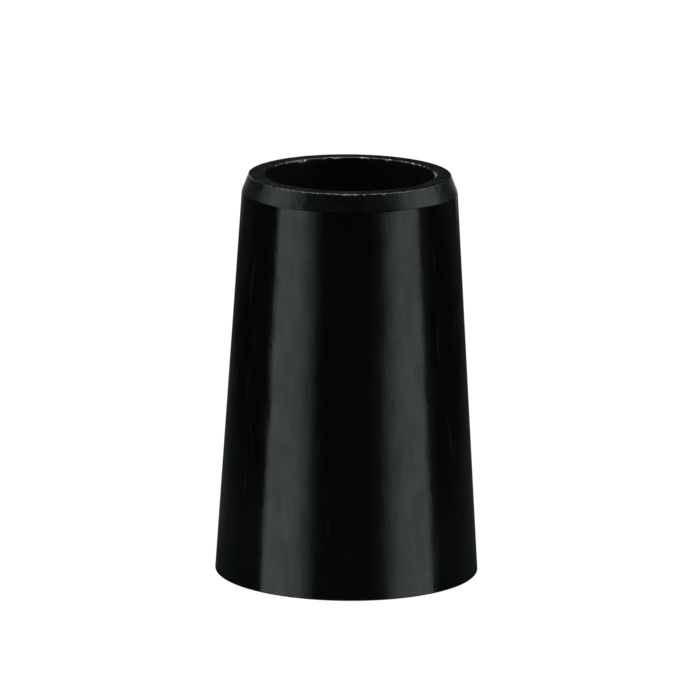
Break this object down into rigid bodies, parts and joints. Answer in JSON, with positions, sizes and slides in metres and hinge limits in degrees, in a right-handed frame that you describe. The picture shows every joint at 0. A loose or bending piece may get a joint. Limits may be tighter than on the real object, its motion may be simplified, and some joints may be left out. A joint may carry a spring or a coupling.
{
  "type": "tapered ferrule",
  "caption": "Black plastic collar with a long outside taper, a bevelled top and a through bore. It slides over a thin shaft and covers the step down from a socket.",
  "frame": {"origin": "centre of the base face, on the axis of the bore", "axes": "+Z along the bore, from the wide base face to the narrow rim face. The part is turned, so +X and +Y are any pair square to it."},
  "size_m": [0.0138, 0.0138, 0.0213],
  "materials": {
    "black_plastic": "gloss black, turned and polished, with the rim face left as cut"
  },
  "bodies": {
    "root": {"ferrule": "black_plastic"}
  },
  "joints": []
}
